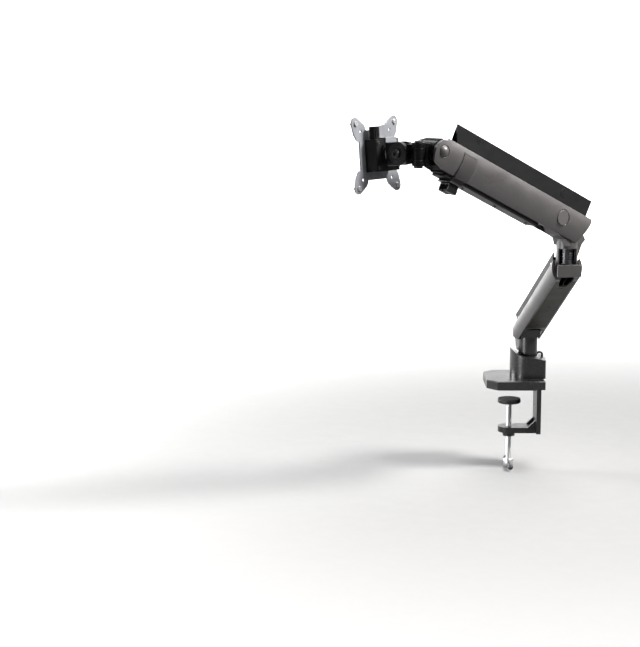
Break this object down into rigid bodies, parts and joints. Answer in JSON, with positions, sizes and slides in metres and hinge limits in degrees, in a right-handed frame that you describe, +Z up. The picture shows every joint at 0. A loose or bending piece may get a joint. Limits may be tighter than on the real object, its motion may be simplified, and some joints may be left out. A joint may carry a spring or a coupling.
{
  "type": "monitor arm",
  "caption": "Desk-clamp monitor arm: turning base, two spring-balanced parallelogram sections and a tilting, rotating VESA head.",
  "frame": {"origin": "base post's axis at the desk surface, on the underside of the foot", "axes": "+Z up; +X from the user's side towards the desk's rear edge; +Y along the desk edge"},
  "size_m": [0.4062, 0.5059, 0.656],
  "materials": {
    "bearing_plastic": "natural acetal",
    "black_cast": "semi-gloss black powder coat",
    "black_plastic": "fine spark-eroded texture",
    "black_steel": "black powder coat",
    "dark_coat": "near-black satin powder coat",
    "dark_steel": "black oxide",
    "graphite": "satin powder coat",
    "grey_plastic": "satin moulded",
    "rod_chrome": "ground and plated",
    "rubber": "matt",
    "silver_sheet": "light grey satin sheet",
    "underside": "satin powder coat",
    "zinc_steel": "zinc plated, fine turned"
  },
  "bodies": {
    "clamp_base": {"foot_pad": "rubber", "foot_plate": "graphite", "block_screws": "dark_steel", "base_block": "graphite", "post_pin": "zinc_steel", "post_washer": "bearing_plastic", "block_hook": "black_plastic", "clamp_bracket": "black_steel", "clamp_bracket_screws": "dark_steel"},
    "clamp_pad": {"pressure_pad": "black_steel", "pad_rubber": "rubber"},
    "clamp_screw": {"clamp_spindle": "zinc_steel", "clamp_handle": "dark_steel"},
    "turret": {"turret": "graphite", "turret_bush": "bearing_plastic", "lower_main_pin": "zinc_steel", "lower_link_pin": "zinc_steel", "lower_pivot_spacers": "bearing_plastic"},
    "lower_casing": {"lower_casing": "graphite", "lower_underside_cover": "underside", "lower_spring_tube": "dark_steel"},
    "lower_rod": {"lower_pull_rod": "rod_chrome"},
    "lower_link": {"lower_top_link": "dark_coat"},
    "elbow_bracket": {"elbow_bracket": "graphite", "elbow_post": "dark_steel", "elbow_washer": "bearing_plastic", "elbow_hook": "black_plastic", "elbow_main_pin": "zinc_steel", "elbow_link_pin": "zinc_steel", "elbow_spacers": "bearing_plastic"},
    "upper_turret": {"upper_turret": "graphite", "upper_bush": "bearing_plastic", "upper_main_pin": "zinc_steel", "upper_link_pin": "zinc_steel", "upper_pivot_spacers": "bearing_plastic"},
    "upper_casing": {"upper_casing": "graphite", "disc_caps": "grey_plastic", "dome_caps": "grey_plastic", "cable_cover": "black_plastic", "cable_clip": "grey_plastic", "cable_gate": "black_plastic", "head_end_cover": "black_plastic", "upper_spring_tube": "dark_steel"},
    "upper_rod": {"upper_pull_rod": "rod_chrome"},
    "upper_link": {"upper_top_link": "dark_coat", "link_plugs": "black_plastic"},
    "head_bracket": {"head_bracket": "black_cast", "head_main_pin": "zinc_steel", "head_link_pin": "zinc_steel", "head_pivot_spacers": "bearing_plastic", "swivel_bolt": "dark_steel"},
    "swivel_link": {"swivel_link": "black_cast"},
    "tilt_block": {"tilt_block": "black_cast", "tilt_bolt": "dark_steel", "tilt_washers": "dark_steel", "rotation_hub": "zinc_steel"},
    "vesa_head": {"head_adapter": "black_plastic", "vesa_plate": "silver_sheet", "vesa_screws": "zinc_steel"},
    "release_knob": {"release_knob": "black_plastic"}
  },
  "joints": [
    {"name": "clamp_turn", "type": "hinge", "parent": "clamp_pad", "child": "clamp_screw", "pos_m": [-0.032, 0, -0.06], "axis": [0, 0, 1], "range_deg": [-6480, 3240]},
    {"name": "clamp_travel", "type": "slide", "parent": "clamp_base", "child": "clamp_pad", "axis": [0, 0, 1], "range_m": [-0.0365, 0.0185]},
    {"name": "base_swivel", "type": "hinge", "parent": "clamp_base", "child": "turret", "pos_m": [0, 0, 0.06], "axis": [0, 0, 1], "range_deg": [-90, 90]},
    {"name": "lower_pitch", "type": "hinge", "parent": "turret", "child": "lower_casing", "pos_m": [0.00179, -0.01187, 0.109], "axis": [-0.9888, -0.1495, 0], "range_deg": [-34, 22]},
    {"name": "lower_link_pitch", "type": "hinge", "parent": "turret", "child": "lower_link", "pos_m": [0.00061, -0.00406, 0.12518], "axis": [-0.9888, -0.1495, 0], "range_deg": [-34, 22]},
    {"name": "elbow_level", "type": "hinge", "parent": "lower_casing", "child": "elbow_bracket", "pos_m": [0.03256, -0.21527, 0.23261], "axis": [-0.9888, -0.1495, 0], "range_deg": [-22, 34]},
    {"name": "lower_rod_slide", "type": "slide", "parent": "lower_casing", "child": "lower_rod", "axis": [0.1282, -0.8475, 0.515], "range_m": [-0.01015, 0.00657]},
    {"name": "elbow_swivel", "type": "hinge", "parent": "elbow_bracket", "child": "upper_turret", "pos_m": [0.03514, -0.23236, 0.265], "axis": [0, 0, 1], "range_deg": [-60, 160]},
    {"name": "upper_pitch", "type": "hinge", "parent": "upper_turret", "child": "upper_casing", "pos_m": [0.00559, -0.25545, 0.334], "axis": [-0.6157, 0.788, 0], "range_deg": [-54.5, 20.5]},
    {"name": "upper_link_pitch", "type": "hinge", "parent": "upper_turret", "child": "upper_link", "pos_m": [0.00702, -0.25433, 0.34687], "axis": [-0.6157, 0.788, 0], "range_deg": [-54.5, 20.5]},
    {"name": "head_level", "type": "hinge", "parent": "upper_casing", "child": "head_bracket", "pos_m": [-0.20092, -0.41679, 0.45343], "axis": [-0.6157, 0.788, 0], "range_deg": [-20.5, 54.5]},
    {"name": "upper_rod_slide", "type": "slide", "parent": "upper_casing", "child": "upper_rod", "axis": [-0.7171, -0.5602, 0.4147], "range_m": [-0.0115, 0.00433]},
    {"name": "head_swivel", "type": "hinge", "parent": "head_bracket", "child": "swivel_link", "pos_m": [-0.22456, -0.43526, 0.4485], "axis": [0, 0, 1], "range_deg": [-2, 150]},
    {"name": "head_tilt", "type": "hinge", "parent": "swivel_link", "child": "tilt_block", "pos_m": [-0.24882, -0.41596, 0.4485], "axis": [0.6225, 0.7826, 0], "range_deg": [-25, 35]},
    {"name": "vesa_rotate", "type": "hinge", "parent": "tilt_block", "child": "vesa_head", "pos_m": [-0.26599, -0.40231, 0.44677], "axis": [-0.7802, 0.6206, -0.0785], "range_deg": [-90, 90]},
    {"name": "knob_turn", "type": "hinge", "parent": "vesa_head", "child": "release_knob", "pos_m": [-0.29114, -0.40658, 0.4655], "axis": [-0.0614, 0.0488, 0.9969], "range_deg": [-360, 360]}
  ],
  "couplings": [
    {"joint": "clamp_travel", "follows": "clamp_turn", "m_per_rad": 0.00031831},
    {"joint": "lower_link_pitch", "follows": "lower_pitch", "ratio": 1},
    {"joint": "elbow_level", "follows": "lower_pitch", "ratio": -1},
    {"joint": "lower_rod_slide", "follows": "lower_pitch", "m_per_rad": 0.0171},
    {"joint": "upper_link_pitch", "follows": "upper_pitch", "ratio": 1},
    {"joint": "head_level", "follows": "upper_pitch", "ratio": -1},
    {"joint": "upper_rod_slide", "follows": "upper_pitch", "m_per_rad": 0.01209}
  ]
}
